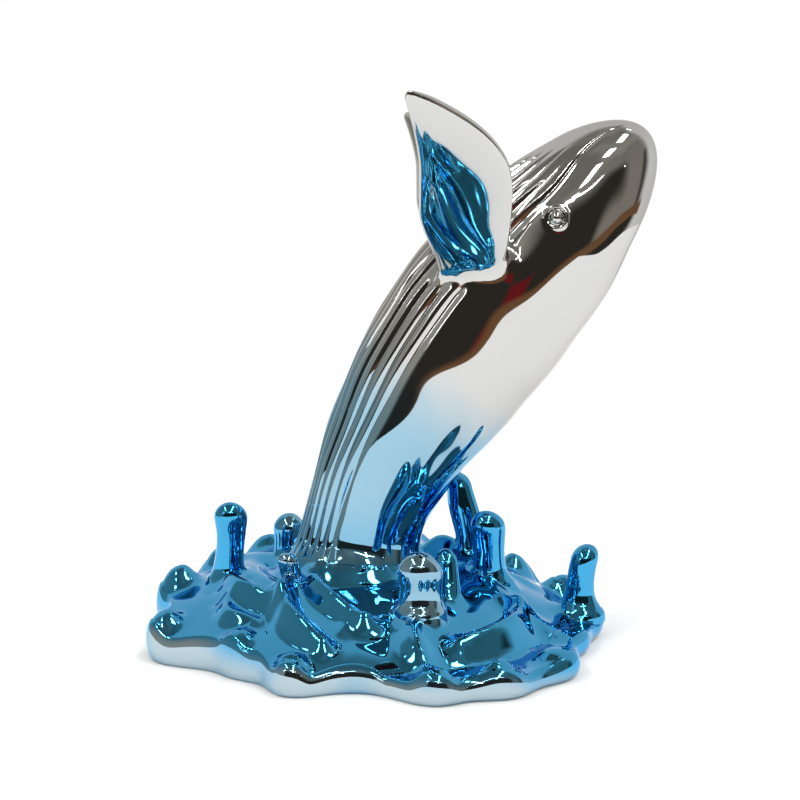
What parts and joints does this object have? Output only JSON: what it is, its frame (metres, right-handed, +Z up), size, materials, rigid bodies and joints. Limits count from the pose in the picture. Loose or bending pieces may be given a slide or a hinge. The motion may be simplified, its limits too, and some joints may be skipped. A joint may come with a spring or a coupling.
{
  "type": "whale sculpture",
  "caption": "Tabletop sculpture of a humpback whale leaping out of a splash of water, mirror plated with blue lacquer on its base.",
  "frame": {"origin": "middle of the water base on its flat underside", "axes": "+Z up, +X towards the side the whale's head leans to, +Y away from the flank seen in the picture"},
  "size_m": [0.268, 0.2676, 0.2933],
  "materials": {
    "plated_resin": "mirror-bright silver plating under clear lacquer, tinted sky blue low on the body and deep blue on the water"
  },
  "bodies": {
    "root": {"breaching_whale_on_waves": "plated_resin"}
  },
  "joints": []
}
